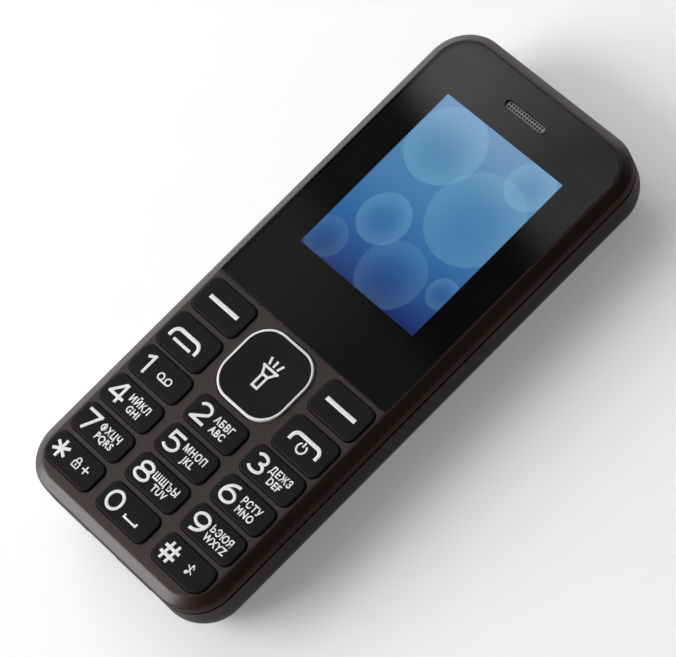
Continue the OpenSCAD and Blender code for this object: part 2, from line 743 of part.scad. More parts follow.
// Inner rear frame: tub, battery bay, screw posts and rails for the board
module rear_chassis() {
    color([0.14, 0.13, 0.13]) difference() {
        union() {
            difference() {
                rear_form(skin, chassis_z);
                translate([0, 0, floor_t - chassis_t]) rear_form(inner, chassis_z + 2);
            }
            intersection() {
                union() {
                    translate([0, battery_y, (skin + bay_top)/2])
                        cube([bay_w + 2*bay_wall, bay_l + 2*bay_wall, bay_top - skin], center = true);
                    for (p = screws) translate([p[0], p[1], skin]) cylinder(h = under_z - skin, r = post_r);
                    for (s = [-1, 1]) translate([s*(board_w/2 - 0.3), battery_y, (under_z + back_r)/2])
                        cube([2.4, battery_l, under_z - back_r], center = true);
                }
                rear_form(skin + 0.2, chassis_z);
            }
        }
        translate([0, battery_y, bay_z/2]) cube([bay_w, bay_l, bay_z], center = true);
        for (s = [-1, 1]) translate([s*sim_x, sim_y, bay_z])
            cube([sim_w + 2*port_play, sim_l + 2*port_play, 3], center = true);
        translate([card_at[0], card_at[1], bay_z])
            cube([card_w + 2*port_play, card_l + 2*port_play, 3], center = true);
        translate([0, battery_top + battery_play + 1.9, (contact_z + bay_top)/2 - 0.1])
            cube([contact_w + 2*port_play, 4, bay_top - contact_z + 0.2], center = true);
        for (p = screws) translate([p[0], p[1], 0]) {
            cylinder(h = head_z + head_h, r = head_r + 0.15);
            cylinder(h = face_h, r = screw_r + 0.15);
        }
        for (x = [-8, 8]) translate([x, -end_y, board_z + 0.55]) cube([4.4, 4, 0.7], center = true);
        end_openings(0.15, end_y);
        speaker_slots(0, floor_z + 1);
    }
}

module speaker_slots(z0, z1) {
    for (i = [-2:2]) translate([speaker_x, speaker_y + i*1.9, 0]) slot(10 - abs(i), 0.8, z0, z1);
}

module chassis_screws() {
    color([0.72, 0.72, 0.73]) for (p = screws) translate([p[0], p[1], 0]) difference() {
        union() {
            translate([0, 0, head_z]) cylinder(h = head_h, r = head_r);
            translate([0, 0, head_z]) cylinder(h = seat_z - 0.8 - head_z, r = screw_r);
        }
        for (a = [0, 90]) translate([0, 0, head_z]) rotate([0, 0, a]) cube([1.6, 0.35, 0.9], center = true);
    }
}

module battery() {
    pad = 1.6;
    color([0.25, 0.27, 0.3]) translate([0, battery_y, 0]) difference() {
        plate(battery_w, battery_l, [1, 1, 1, 1], skin, skin + battery_t);
        for (i = [-1:1]) translate([i*2.7, battery_l/2, skin + battery_t/2]) cube([pad, 0.3, 2.4], center = true);
    }
}

// Tub that clips over the chassis: speaker slots, end openings and a fingernail notch
module rear_cover() {
    color([0.2, 0.17, 0.165]) difference() {
        rear_form(0, rim_z);
        rear_form(wall, rim_z + 2);
        end_openings(port_play, body_l/2);
        speaker_slots(-1, wall + 1);
        translate([-body_w/2, -body_l/4, rim_z]) rotate([90, 0, 0]) cylinder(h = 9, r = 0.6, center = true);
    }
}

front_housing();
display_lens();
earpiece_grille();
earpiece();
lcd_panel();
lcd_frame();
lcd_flex();
nav_key();
nav_ring();
nav_carrier();
nav_plunger();
keypad_mat();
dome_sheet();
circuit_board();
shield_can_base();
shield_can_radio();
sim_holder_left();
sim_holder_right();
memory_card_holder();
battery_connector();
usb_socket();
audio_jack();
microphone();
torch_led();
torch_lens();
vibration_motor();
loudspeaker();
antenna();
rear_chassis();
chassis_screws();
battery();
rear_cover();
for (i = [0:11]) digit_key(i);
for (i = [0:3]) fn_key(i);
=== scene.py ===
# %% [markdown]
# # A bar phone with a keypad
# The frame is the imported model: every solid piece of the phone is already in place, in metres.
# This lesson dresses it. It gives each solid a finish, prints the signs on the keys, lays the dark
# print and the lit picture under the window, and sets up the camera and the light.

# %% Load the frame
import json
import math

import bmesh
import bpy
from mathutils import Matrix, Vector


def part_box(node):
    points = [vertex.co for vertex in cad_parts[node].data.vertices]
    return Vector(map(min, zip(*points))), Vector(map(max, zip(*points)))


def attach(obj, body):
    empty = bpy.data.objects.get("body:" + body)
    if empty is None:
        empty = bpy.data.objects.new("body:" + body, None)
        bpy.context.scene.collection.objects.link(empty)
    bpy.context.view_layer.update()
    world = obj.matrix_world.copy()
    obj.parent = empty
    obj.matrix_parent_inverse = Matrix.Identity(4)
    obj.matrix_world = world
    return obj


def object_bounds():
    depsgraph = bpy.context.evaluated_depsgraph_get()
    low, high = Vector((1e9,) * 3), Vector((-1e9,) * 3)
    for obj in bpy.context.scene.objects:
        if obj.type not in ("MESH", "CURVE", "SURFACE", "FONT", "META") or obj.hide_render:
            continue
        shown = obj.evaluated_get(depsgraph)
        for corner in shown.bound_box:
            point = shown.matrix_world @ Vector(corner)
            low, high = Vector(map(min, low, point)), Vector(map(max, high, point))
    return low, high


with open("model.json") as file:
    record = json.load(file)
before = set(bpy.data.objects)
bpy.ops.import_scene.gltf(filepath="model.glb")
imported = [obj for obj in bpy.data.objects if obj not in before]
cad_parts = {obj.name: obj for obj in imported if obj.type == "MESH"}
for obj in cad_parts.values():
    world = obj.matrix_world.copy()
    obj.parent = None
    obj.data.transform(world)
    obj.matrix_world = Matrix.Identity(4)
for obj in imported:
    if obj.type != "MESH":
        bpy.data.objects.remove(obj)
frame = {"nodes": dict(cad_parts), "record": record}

cad_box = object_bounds()
nodes = frame["nodes"]
MM = 0.001
size_mm = [round((high - low) / MM, 2) for low, high in zip(*cad_box)]
print("solids:", len(nodes), "size in mm:", size_mm)

# %% [markdown]
# ## Camera
# The phone was taken from half a metre away with a long lens, so its sides stay almost parallel.
# A camera can be aimed with a Track To constraint, but the phone also leans in the picture. Writing
# the camera's right and up directions fixes place, aim and lean in one matrix.

# %% Camera
CAMERA_PLACE = Vector((0.3204, -0.0793, 0.5493))
CAMERA_RIGHT = Vector((0.6534, 0.7016, -0.2841)).normalized()
CAMERA_UP = Vector((-0.5641, 0.7016, 0.4353)).normalized()
FOCAL_LENGTH = 205.17
SENSOR_WIDTH = 36.0


def show(holder):
    bpy.context.scene.collection.objects.link(holder)
    return holder


def add_camera():
    lens = bpy.data.cameras.new("camera")
    lens.sensor_fit = "HORIZONTAL"
    lens.sensor_width = SENSOR_WIDTH
    lens.lens = FOCAL_LENGTH
    lens.clip_start = 0.01
    camera = show(bpy.data.objects.new("camera", lens))
    axes = Matrix((CAMERA_RIGHT, CAMERA_UP, CAMERA_RIGHT.cross(CAMERA_UP))).transposed()
    camera.matrix_world = Matrix.Translation(CAMERA_PLACE) @ axes.to_4x4()
    bpy.context.scene.camera = camera
    return camera


print("camera at", [round(v, 3) for v in add_camera().location])

# %% [markdown]
# ## Shader helpers
# Every finish starts from Blender's Principled shader. Small helpers keep the cells short: one starts a
# material, one adds a node and fills its inputs with numbers or with links, and the others give the
# noise, ramps and bumps that most finishes share.

# %% Shader helpers


def new_finish(name):
    material = bpy.data.materials.new(name)
    material.use_nodes = True
    tree = material.node_tree
    return material, tree, tree.nodes["Principled BSDF"]


def set_inputs(tree, node, inputs):
    for key, value in inputs.items():
        if isinstance(value, bpy.types.NodeSocket):
            tree.links.new(value, node.inputs[key])
        else:
            node.inputs[key].default_value = value


def add_node(tree, kind, inputs=(), **settings):
    node = tree.nodes.new(kind)
    for key, value in settings.items():
        setattr(node, key, value)
    set_inputs(tree, node, dict(inputs))
    return node


def place_in(tree):
    return add_node(tree, "ShaderNodeTexCoord").outputs["Object"]


node_helpers = (new_finish, set_inputs, add_node, place_in)
print("node helpers:", [helper.__name__ for helper in node_helpers])

# %% Noise, ramps and bumps
# Noise mostly stays in this stretch
NOISE_RANGE = (0.3, 0.7)


def noise(tree, grain, detail=2.0):
    """Cloudy noise whose spots are about one grain, in metres, across."""
    settings = {"Vector": place_in(tree), "Scale": 1 / grain, "Detail": detail}
    return add_node(tree, "ShaderNodeTexNoise", settings).outputs["Fac"]


def spread(tree, value, low, high):
    """Takes the usual stretch of noise to the values from low to high."""
    start, end = NOISE_RANGE
    settings = {"Value": value, "From Min": start, "From Max": end, "To Min": low, "To Max": high}
    return add_node(tree, "ShaderNodeMapRange", settings).outputs["Result"]


def tinted(tree, value, dark, light):
    ramp = add_node(tree, "ShaderNodeValToRGB", {"Fac": value})
    for stop, place, colour in zip(ramp.color_ramp.elements, NOISE_RANGE, (dark, light)):
        stop.position = place
        stop.color = (*colour, 1.0)
    return ramp.outputs["Color"]


def bumped(tree, value, depth, strength=1.0):
    settings = {"Height": value, "Distance": depth, "Strength": strength}
    return add_node(tree, "ShaderNodeBump", settings).outputs["Normal"]


def shaded(colour, share):
    return tuple(share * part for part in colour)


grain_helpers = (noise, spread, tinted, bumped, shaded)
print("grain helpers:", [helper.__name__ for helper in grain_helpers])

# %% [markdown]
# ## Moulded plastic
# The shells, keys and inner frame are injection moulded. The steel mould is roughened with sparks,
# and the plastic copies that texture, so it shows a soft, grainy sheen. A picture could give the
# grain, but noise on Object coordinates has no seams and stays sharp at any distance.

# %% Moulded plastic
CLOUD = 6 * MM
PLASTIC_UNEVEN = 0.05
PLASTIC_IOR = 1.5


def moulded(name, colour, roughness, grain, depth, variety=0.12, gloss=0.5):
    """Plastic with spark grains; gloss is the strength of its sheen, 0.5 on bare plastic."""
    material, tree, shader = new_finish(name)
    spark = noise(tree, grain)
    cloud = noise(tree, CLOUD)
    set_inputs(tree, shader, {
        "Base Color": tinted(tree, cloud, shaded(colour, 1 - variety), shaded(colour, 1 + variety)),
        "Roughness": spread(tree, spark, roughness - PLASTIC_UNEVEN, roughness + PLASTIC_UNEVEN),
        "Normal": bumped(tree, spark, depth),
        "IOR": PLASTIC_IOR,
        "Specular IOR Level": gloss,
    })
    return material


SHELL_BROWN = (0.028, 0.0145, 0.013)
finishes = {
    "front_shell": moulded("front_shell", SHELL_BROWN, 0.36, 0.12 * MM, 0.003 * MM),
    "cover_shell": moulded("cover_shell", (0.024, 0.0155, 0.0135), 0.5, 0.22 * MM, 0.01 * MM, gloss=0.2),
    "key_black": moulded("key_black", (0.006, 0.006, 0.006), 0.55, 0.1 * MM, 0.003 * MM, gloss=0.12),
    "inner_black": moulded("inner_black", (0.02, 0.02, 0.021), 0.55, 0.3 * MM, 0.01 * MM),
    "ring_white": moulded("ring_white", (0.9, 0.9, 0.89), 0.35, 0.15 * MM, 0.002 * MM, 0.03),
    "tray_white": moulded("tray_white", (0.75, 0.75, 0.73), 0.5, 0.3 * MM, 0.004 * MM, 0.04),
    "silicone": moulded("silicone", (0.55, 0.55, 0.53), 0.6, 0.3 * MM, 0.006 * MM, 0.06),
    "film": moulded("film", (0.5, 0.27, 0.07), 0.35, 0.4 * MM, 0.003 * MM),
    "board_green": moulded("board_green", (0.02, 0.13, 0.05), 0.4, 0.5 * MM, 0.01 * MM, 0.25),
}
print("moulded finishes:", sorted(finishes))

# %% [markdown]
# ## Metal
# Screening cans, socket shells and screws are tinned or nickel-plated steel, and the contacts are
# gold-plated. Rolled sheet has fine streaks along one direction, which a stretched noise gives.

# %% Metal
# Streaks in a metre, along the rolling direction and across it
STREAKS = (600, 9000, 9000)
STREAK_DEPTH = 0.002 * MM
METAL_UNEVEN = 0.07
TARNISH = 4 * MM
TARNISH_SHADE = 0.92


def rolled_metal(name, colour, roughness):
    material, tree, shader = new_finish(name)
    stretch = add_node(tree, "ShaderNodeMapping", {"Vector": place_in(tree), "Scale": STREAKS})
    streaks = add_node(tree, "ShaderNodeTexNoise", {"Vector": stretch.outputs["Vector"], "Scale": 1.0})
    streak = streaks.outputs["Fac"]
    set_inputs(tree, shader, {
        "Base Color": tinted(tree, noise(tree, TARNISH), shaded(colour, TARNISH_SHADE), colour),
        "Metallic": 1.0,
        "Roughness": spread(tree, streak, roughness - METAL_UNEVEN, roughness + METAL_UNEVEN),
        "Normal": bumped(tree, streak, STREAK_DEPTH),
    })
    return material


finishes["can_steel"] = rolled_metal("can_steel", (0.66, 0.66, 0.65), 0.32)
finishes["dome_steel"] = rolled_metal("dome_steel", (0.6, 0.61, 0.62), 0.28)
finishes["contact_brass"] = rolled_metal("contact_brass", (0.78, 0.56, 0.22), 0.3)
finishes["grille_grey"] = rolled_metal("grille_grey", (0.26, 0.26, 0.26), 0.42)
print("metals: steel, domes, contacts, grille")

# %% [markdown]
# ## Clear pieces and the cell's wrap
# The window is a clear pane with a hard, glossy skin, so light passes through it and its face mirrors
# what hangs above it. Full transmission with a touch of uneven polish gives both. The torch window is
# the same plastic, a little frosted. The cell is wrapped in plain dark film over aluminium.

# %% Clear pieces and the cell's wrap
POLISH = 9 * MM
CLEAR_IOR = 1.49


def clear_plastic(name, tint, low, high):
    material, tree, shader = new_finish(name)
    set_inputs(tree, shader, {
        "Base Color": (*tint, 1.0),
        "Roughness": spread(tree, noise(tree, POLISH), low, high),
        "Transmission Weight": 1.0,
        "IOR": CLEAR_IOR,
    })
    return material


finishes["window"] = clear_plastic("window", (1.0, 1.0, 1.0), 0.0, 0.02)
finishes["torch_clear"] = clear_plastic("torch_clear", (0.95, 0.97, 1.0), 0.1, 0.2)
finishes["panel"] = moulded("panel", (0.01, 0.012, 0.02), 0.15, 0.3 * MM, 0.001 * MM)
finishes["battery_wrap"] = moulded("battery_wrap", (0.05, 0.055, 0.06), 0.35, 1.2 * MM, 0.01 * MM, 0.2)
print("finishes in all:", len(finishes))

# %% [markdown]
# ## Finishes on the solids
# The record names a material slot for each solid, so one loop dresses them all. A solid arrives as
# loose flat triangles, which would show as facets on a rounded edge. Its mesh isn't edited: a small
# Geometry Nodes modifier joins equal corners and smooths every edge flatter than a set angle.

# %% Even shading
SMOOTH_BELOW = math.radians(32)
SAME_CORNER = 0.0005 * MM


def geometry_group(name):
    group = bpy.data.node_groups.new(name, "GeometryNodeTree")
    for way in ("INPUT", "OUTPUT"):
        group.interface.new_socket("Geometry", in_out=way, socket_type="NodeSocketGeometry")
    return group, add_node(group, "NodeGroupInput").outputs["Geometry"]


def even_shading():
    group, start = geometry_group("even_shading")
    joined = add_node(group, "GeometryNodeMergeByDistance", {"Geometry": start, "Distance": SAME_CORNER})
    angle = add_node(group, "GeometryNodeInputMeshEdgeAngle").outputs["Unsigned Angle"]
    flat = add_node(group, "FunctionNodeCompare", {"A": angle, "B": SMOOTH_BELOW}, operation="LESS_THAN")
    faces = add_node(group, "GeometryNodeSetShadeSmooth", {"Geometry": joined.outputs["Geometry"]})
    edges = add_node(group, "GeometryNodeSetShadeSmooth", {
        "Geometry": faces.outputs["Geometry"],
        "Shade Smooth": flat.outputs["Result"],
    }, domain="EDGE")
    add_node(group, "NodeGroupOutput", {"Geometry": edges.outputs["Geometry"]})
    return group


shading = even_shading()
print("shading nodes:", [node.name for node in shading.nodes])

# %% Finishes on the solids


def dress_solid(name, finish):
    solid = nodes[name]
    solid.data.materials.clear()
    solid.data.materials.append(finish)
    solid.modifiers.new("even_shading", "NODES").node_group = shading


for subpart in frame["record"]["subparts"]:
    dress_solid(subpart["node"], finishes[subpart["material_slot"]])

# %% [markdown]
# ## Dull side wall
# The face and the chamfer of the front shell have a satin sheen, but its side wall is as dull as the
# cover below it. Both belong to one solid, so a second modifier picks the faces whose middle lies below
# the chamfer and gives them a finish of the same brown with little gloss.

# %% Dull side wall
CHAMFER_HEIGHT = 1.2 * MM


def low_faces(finish, height):
    """Gives a finish to the faces below a height."""
    group, start = geometry_group("low_faces")
    place = add_node(group, "GeometryNodeInputPosition").outputs["Position"]
    level = add_node(group, "ShaderNodeSeparateXYZ", {"Vector": place}).outputs["Z"]
    low = add_node(group, "FunctionNodeCompare", {"A": level, "B": height}, operation="LESS_THAN")
    dressed = add_node(group, "GeometryNodeSetMaterial", {
        "Geometry": start,
        "Selection": low.outputs["Result"],
        "Material": finish,
    })
    add_node(group, "NodeGroupOutput", {"Geometry": dressed.outputs["Geometry"]})
    return group


side_wall = moulded("side_wall", SHELL_BROWN, 0.5, 0.12 * MM, 0.003 * MM, gloss=0.1)
wall_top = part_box("front_housing")[1].z - CHAMFER_HEIGHT
nodes["front_housing"].modifiers.new("side_wall", "NODES").node_group = low_faces(side_wall, wall_top)
print("side wall below z in mm:", round(wall_top / MM, 2))

# %% [markdown]
# ## Pieces of our own
# What the frame lacks is thin: ink, print and the lit picture. Each is a closed sheet a few hundredths
# of a millimetre thick, so it has two sides and a rim like the real layer. The helpers draw a plate with
# round corners, give it its thickness and turn a bmesh into a piece that rides on a body of the frame.

# %% Piece helpers
CORNER_STEPS = 12


def add_piece(name, bm, finish, body, slot):
    mesh = bpy.data.meshes.new(name)
    bm.to_mesh(mesh)
    bm.free()
    mesh.materials.append(finish)
    piece = show(bpy.data.objects.new(name, mesh))
    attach(piece, body)
    return piece


def middle(node):
    low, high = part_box(node)
    return (low + high) / 2


def rounded_plate(bm, size, radii, centre):
    """Adds one flat face with its own radius at each corner, counted from the upper right."""
    corners = [(1, 1), (-1, 1), (-1, -1), (1, -1)]
    places = [(centre[0] + x * size[0] / 2, centre[1] + y * size[1] / 2, 0) for x, y in corners]
    verts = [bm.verts.new(place) for place in places]
    bm.faces.new(verts)
    for vert, radius in zip(verts, radii):
        bmesh.ops.bevel(bm, geom=[vert], offset=radius, affect="VERTICES", segments=CORNER_STEPS,
                        profile=0.5, material=-1)


def raise_sheet(bm, bottom, thickness):
    """Makes a flat sheet at height zero a closed layer that starts at the given height."""
    skin = bmesh.ops.extrude_face_region(bm, geom=bm.faces[:])
    top = [item for item in skin["geom"] if isinstance(item, bmesh.types.BMVert)]
    bmesh.ops.translate(bm, verts=top, vec=(0, 0, thickness))
    bmesh.ops.translate(bm, verts=bm.verts[:], vec=(0, 0, bottom))
    bmesh.ops.recalc_face_normals(bm, faces=bm.faces[:])


piece_helpers = (add_piece, middle, rounded_plate, raise_sheet)
print("piece helpers:", [helper.__name__ for helper in piece_helpers])

# %% [markdown]
# ## Print under the window
# The black border of a phone's window is printed on the back of the clear pane, with openings for the
# display and the earpiece. The outlines are drawn as rounded plates, their faces are taken away, and
# one fill closes the space between the loops, so both openings are real holes.

# %% Print under the window
PRINT_OVERHANG = 0.04 * MM
PRINT_THICKNESS = 0.03 * MM
PRINT_GAP = 0.005 * MM
DISPLAY_W = 28.03 * MM
DISPLAY_L = 35.04 * MM
DISPLAY_CORNER = 0.15 * MM
DISPLAY_DROP = 10.08 * MM
SLOT_W = 9.3 * MM
SLOT_L = 1.5 * MM
# Just under half, so that the round ends of the slot keep a short edge between their corners
SLOT_ROUND = 0.499
SLOT_DROP = 5.05 * MM
WINDOW_R = 5.7 * MM
WINDOW_FOOT_R = 0.3 * MM

window_low, window_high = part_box("display_lens")
window_mid = (window_low + window_high) / 2
display_mid = Vector((0, window_high.y - DISPLAY_DROP - DISPLAY_L / 2))
slot_mid = Vector((0, window_high.y - SLOT_DROP))


def window_print():
    bm = bmesh.new()
    size = [high - low + 2 * PRINT_OVERHANG for low, high in zip(window_low[:2], window_high[:2])]
    top_r = WINDOW_R + PRINT_OVERHANG
    foot_r = WINDOW_FOOT_R + PRINT_OVERHANG
    rounded_plate(bm, size, (top_r, top_r, foot_r, foot_r), window_mid)
    rounded_plate(bm, (DISPLAY_W, DISPLAY_L), 4 * [DISPLAY_CORNER], display_mid)
    rounded_plate(bm, (SLOT_W, SLOT_L), 4 * [SLOT_ROUND * SLOT_L], slot_mid)
    bmesh.ops.delete(bm, geom=bm.faces[:], context="FACES_ONLY")
    bmesh.ops.triangle_fill(bm, edges=bm.edges[:], use_beauty=True)
    raise_sheet(bm, window_low.z - PRINT_GAP - PRINT_THICKNESS, PRINT_THICKNESS)
    return bm


print_black = moulded("print_black", (0.007, 0.007, 0.0072), 0.8, 0.2 * MM, 0.0005 * MM, gloss=0.0)
window_ink = add_piece("window_print", window_print(), print_black, "phone", "window")
print("window print faces:", len(window_ink.data.polygons))

# %% [markdown]
# ## The lit picture
# A display glows by itself, so its picture belongs in the shader's emission. A plain wallpaper is
# painted with nodes: a blue ramp up the display, and a few clear bubbles. Each bubble is the distance
# to a point, taken through two smooth steps, so that it brightens to its rim and ends there.

# %% Bubbles
# Place across and up from the middle of the display, radius and strength of each bubble
BUBBLES = (
    (-7.5, 10.5, 7.5, 0.22),
    (6.5, 4.0, 9.0, 0.15),
    (-6.0, -5.5, 5.0, 0.18),
    (9.5, 14.0, 4.6, 0.22),
    (2.5, -12.0, 6.5, 0.09),
    (-11.5, -14.0, 4.0, 0.08),
    (12.0, -9.0, 3.0, 0.13),
)
BUBBLE_COLOUR = (0.3, 0.62, 0.8, 1.0)
# Shares of the radius: the faint core and the start of the rim. Then the core's share of the strength
BUBBLE_CORE = 0.2
BUBBLE_RIM = 0.96
BUBBLE_FAINT = 0.15


def bubble_glow(tree, spot, x, y, radius, strength):
    """Faint in the middle of a bubble, stronger towards its rim and gone outside."""
    centre = (x * MM, y * MM, 0.0)
    reach = add_node(tree, "ShaderNodeVectorMath", {0: spot, 1: centre}, operation="DISTANCE")
    away = reach.outputs["Value"]
    body = add_node(tree, "ShaderNodeMapRange", {
        "Value": away, "From Min": BUBBLE_CORE * radius * MM, "From Max": radius * MM,
        "To Min": BUBBLE_FAINT * strength, "To Max": strength,
    }, interpolation_type="SMOOTHSTEP")
    rim = add_node(tree, "ShaderNodeMapRange", {
        "Value": away, "From Min": radius * MM, "From Max": BUBBLE_RIM * radius * MM,
    }, interpolation_type="SMOOTHSTEP")
    parts = {0: body.outputs["Result"], 1: rim.outputs["Result"]}
    return add_node(tree, "ShaderNodeMath", parts, operation="MULTIPLY").outputs["Value"]


print("bubbles:", len(BUBBLES))

# %% The lit picture
PICTURE_OVERLAP = 0.38 * MM
PICTURE_THICKNESS = 0.02 * MM
PICTURE_CORNER = 0.1 * MM
PICTURE_GAP = 0.005 * MM
# The ramp runs up the display and leans a little to its left
PICTURE_LEAN = (-0.08, 1.0, 0.0)
RAMP = (
    (0.0, (0.013, 0.027, 0.15)),
    (0.27, (0.03, 0.13, 0.35)),
    (0.5, (0.063, 0.2, 0.42)),
    (0.75, (0.095, 0.255, 0.46)),
    (1.0, (0.155, 0.3, 0.52)),
)


def picture_finish():
    material, tree, shader = new_finish("lit_picture")
    centre = (display_mid.x, display_mid.y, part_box("lcd_panel")[1].z)
    local = add_node(tree, "ShaderNodeVectorMath", {0: place_in(tree), 1: centre}, operation="SUBTRACT")
    spot = local.outputs["Vector"]
    lean = add_node(tree, "ShaderNodeVectorMath", {0: spot, 1: PICTURE_LEAN}, operation="DOT_PRODUCT")
    level = add_node(tree, "ShaderNodeMapRange", {
        "Value": lean.outputs["Value"], "From Min": -DISPLAY_L / 2, "From Max": DISPLAY_L / 2,
    }).outputs["Result"]
    ramp = add_node(tree, "ShaderNodeValToRGB", {"Fac": level})
    stops = ramp.color_ramp.elements
    for place, _ in RAMP[1:-1]:
        stops.new(place)
    for stop, (place, colour) in zip(stops, RAMP):
        stop.position = place
        stop.color = (*colour, 1.0)
    colour = ramp.outputs["Color"]
    for bubble in BUBBLES:
        glow = bubble_glow(tree, spot, *bubble)
        mix = add_node(tree, "ShaderNodeMix", {"Factor": glow}, data_type="RGBA")
        tree.links.new(colour, mix.inputs["A"])
        mix.inputs["B"].default_value = BUBBLE_COLOUR
        colour = mix.outputs["Result"]
    set_inputs(tree, shader, {
        "Base Color": (0.0, 0.0, 0.0, 1.0),
        "Roughness": 0.6,
        "Specular IOR Level": 0.0,
        "Emission Color": colour,
        "Emission Strength": 1.0,
    })
    return material


def lit_picture():
    bm = bmesh.new()
    size = (DISPLAY_W + 2 * PICTURE_OVERLAP, DISPLAY_L + 2 * PICTURE_OVERLAP)
    rounded_plate(bm, size, 4 * [PICTURE_CORNER], display_mid)
    raise_sheet(bm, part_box("lcd_panel")[1].z + PICTURE_GAP, PICTURE_THICKNESS)
    return bm


add_piece("display_picture", lit_picture(), picture_finish(), "phone", "panel")
print("picture centre in mm:", [round(v / MM, 2) for v in display_mid])

# %% [markdown]
# ## Ink
# The signs on the keys are printed in white ink. A line sign is drawn as a curve with a round pen,
# turned into a mesh and pressed flat, which keeps its even width and its joints. Small letters come
# from Blender's own typeface. A round bevel along their outline makes them bold before the pressing.

# %% Pen
INK_THICKNESS = 0.012
PEN_ROUND = 2


def flat_mesh(curve):
    holder = show(bpy.data.objects.new(curve.name, curve))
    mesh = bpy.data.meshes.new_from_object(holder)
    bpy.data.objects.remove(holder)
    return mesh


def pen(points, width, closed=False):
    """An ink line through points, in mm, drawn with a pen of that width."""
    curve = bpy.data.curves.new("pen", "CURVE")
    curve.dimensions = "3D"
    curve.bevel_depth = width / 2
    curve.bevel_resolution = PEN_ROUND
    curve.use_fill_caps = True
    line = curve.splines.new("POLY")
    line.points.add(len(points) - 1)
    line.use_cyclic_u = closed
    for point, (x, y) in zip(line.points, points):
        point.co = (x, y, 0, 1)
    mesh = flat_mesh(curve)
    mesh.transform(Matrix.Diagonal((1, 1, INK_THICKNESS / width, 1)))
    return mesh


def bow(x, y, half_w, half_h, start, end, steps=18):
    """Points on part of an ellipse, from one angle to another."""
    turns = [math.radians(start + (end - start) * i / steps) for i in range(steps + 1)]
    return [(x + half_w * math.cos(turn), y + half_h * math.sin(turn)) for turn in turns]


def arc(x, y, radius, start, end, steps=12):
    return bow(x, y, radius, radius, start, end, steps)


def ring(x, y, radius, width):
    return pen(arc(x, y, radius, 0, 360, 24)[:-1], width, closed=True)


pen_helpers = (flat_mesh, pen, bow, arc, ring)
print("pen helpers:", [helper.__name__ for helper in pen_helpers])

# %% Words and printing
TEXT_CAP_SHARE = 0.72
TEXT_NARROW = 0.86
TEXT_SPACE = 1.14


def word(text, cap, weight):
    """Bold narrow text whose capitals are cap mm high, on the line y = 0, centred across."""
    letters = bpy.data.curves.new("word", "FONT")
    letters.body = text
    letters.size = cap / TEXT_CAP_SHARE
    letters.align_x = "CENTER"
    letters.space_character = TEXT_SPACE
    letters.bevel_depth = weight
    letters.bevel_resolution = PEN_ROUND
    mesh = flat_mesh(letters)
    mesh.transform(Matrix.Diagonal((TEXT_NARROW, 1, INK_THICKNESS / (2 * weight), 1)))
    return mesh


def moved(mesh, x, y):
    mesh.transform(Matrix.Translation((x, y, 0)))
    return mesh


def ink_bmesh(shapes, centre, height):
    """Joins ink shapes, given in mm round a key's middle, and lays them at that height."""
    bm = bmesh.new()
    for shape in shapes:
        bm.from_mesh(shape)
    bmesh.ops.scale(bm, verts=bm.verts[:], vec=(MM, MM, MM))
    lift = height + INK_THICKNESS * MM / 2
    bmesh.ops.translate(bm, verts=bm.verts[:], vec=(centre.x, centre.y, lift))
    return bm


white_ink = moulded("white_ink", (0.92, 0.92, 0.92), 0.5, 0.08 * MM, 0.001 * MM, 0.03)


def print_on(key, shapes):
    """Prints shapes on the flat top of a key and lets them ride with it."""
    bm = ink_bmesh(shapes, middle(key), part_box(key)[1].z)
    return add_piece("print_" + key, bm, white_ink, key + "_cap", "key_black")


print_helpers = (word, moved, ink_bmesh, print_on)
print("print helpers:", [helper.__name__ for helper in print_helpers])

# %% [markdown]
# ## Digits and letters
# Each digit key carries a tall digit at its left and two short lines of letters beside it. The digits
# are round and even, as if drawn with one pen, so straight strokes and parts of ellipses make them.
# A sharp corner would pinch the pen line, so strokes that meet at a corner are drawn one by one.

# %% Digits
BOLD = 0.58
DIGIT_X = -3.2
DIGIT_WIDEN = 1.1
DIGITS = {
    "0": [bow(0, 0, 1.34, 1.62, 90, 450, 32)],
    "1": [[(0.35, 1.9), (0.35, -1.9)], [(0.35, 1.6), (-0.85, 0.95)]],
    "2": [bow(-0.02, 0.6, 1.2, 1.02, 160, -30) + [(-1.3, -1.62)], [(-1.55, -1.62), (1.5, -1.62)]],
    "3": [bow(-0.1, 0.82, 1.12, 0.8, 155, -90), bow(-0.1, -0.76, 1.32, 0.86, 90, -155)],
    "4": [[(0.4, 1.8), (-1.4, -0.75)], [(-1.65, -0.75), (1.6, -0.75)], [(0.62, 1.9), (0.62, -1.9)]],
    "5": [
        [(1.3, 1.62), (-1.2, 1.62)],
        [(-0.98, 1.85), (-1.1, 0.0)],
        bow(-0.1, -0.55, 1.38, 1.07, 140, -150),
    ],
    "6": [bow(0, -0.58, 1.32, 1.04, 90, 450, 28), bow(0.75, -0.5, 2.06, 2.16, 85, 176)],
    "7": [[(-1.55, 1.62), (1.5, 1.62)], [(1.25, 1.62), (-0.45, -1.9)]],
    "8": [bow(0, 0.84, 1.1, 0.78, 90, 450, 28), bow(0, -0.74, 1.34, 0.88, 90, 450, 28)],
    "9": [bow(0, 0.58, 1.32, 1.04, 90, 450, 28), bow(-0.75, 0.5, 2.06, 2.16, -95, -4)],
}


def digit_sign(digit):
    strokes = [[(DIGIT_WIDEN * x, y) for x, y in points] for points in DIGITS[digit]]
    return [moved(pen(points, BOLD), DIGIT_X, 0) for points in strokes]


print("strokes in all digits:", sum(len(strokes) for strokes in DIGITS.values()))

